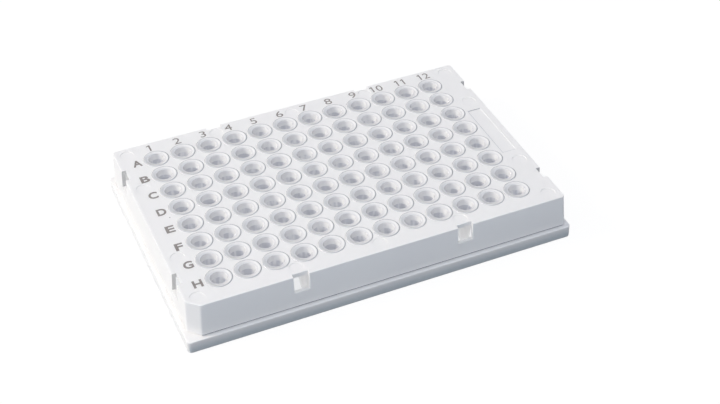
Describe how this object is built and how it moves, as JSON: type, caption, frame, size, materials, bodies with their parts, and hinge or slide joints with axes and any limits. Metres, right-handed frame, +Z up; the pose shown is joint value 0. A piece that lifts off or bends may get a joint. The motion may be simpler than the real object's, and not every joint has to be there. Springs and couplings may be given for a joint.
{
  "type": "well plate",
  "caption": "Low white laboratory well plate: a stepped full skirt with windows, an open underside, and a grid of conical wells with raised rims.",
  "frame": {"origin": "centre of the footprint, on the plane the plate stands on", "axes": "+X along the long side towards column 12, +Y along the short side towards row A, +Z up out of the well mouths"},
  "size_m": [0.1278, 0.0854, 0.0156],
  "materials": {
    "plate": "white polypropylene, moulded, satin"
  },
  "bodies": {
    "root": {"plate": "plate"}
  },
  "joints": []
}
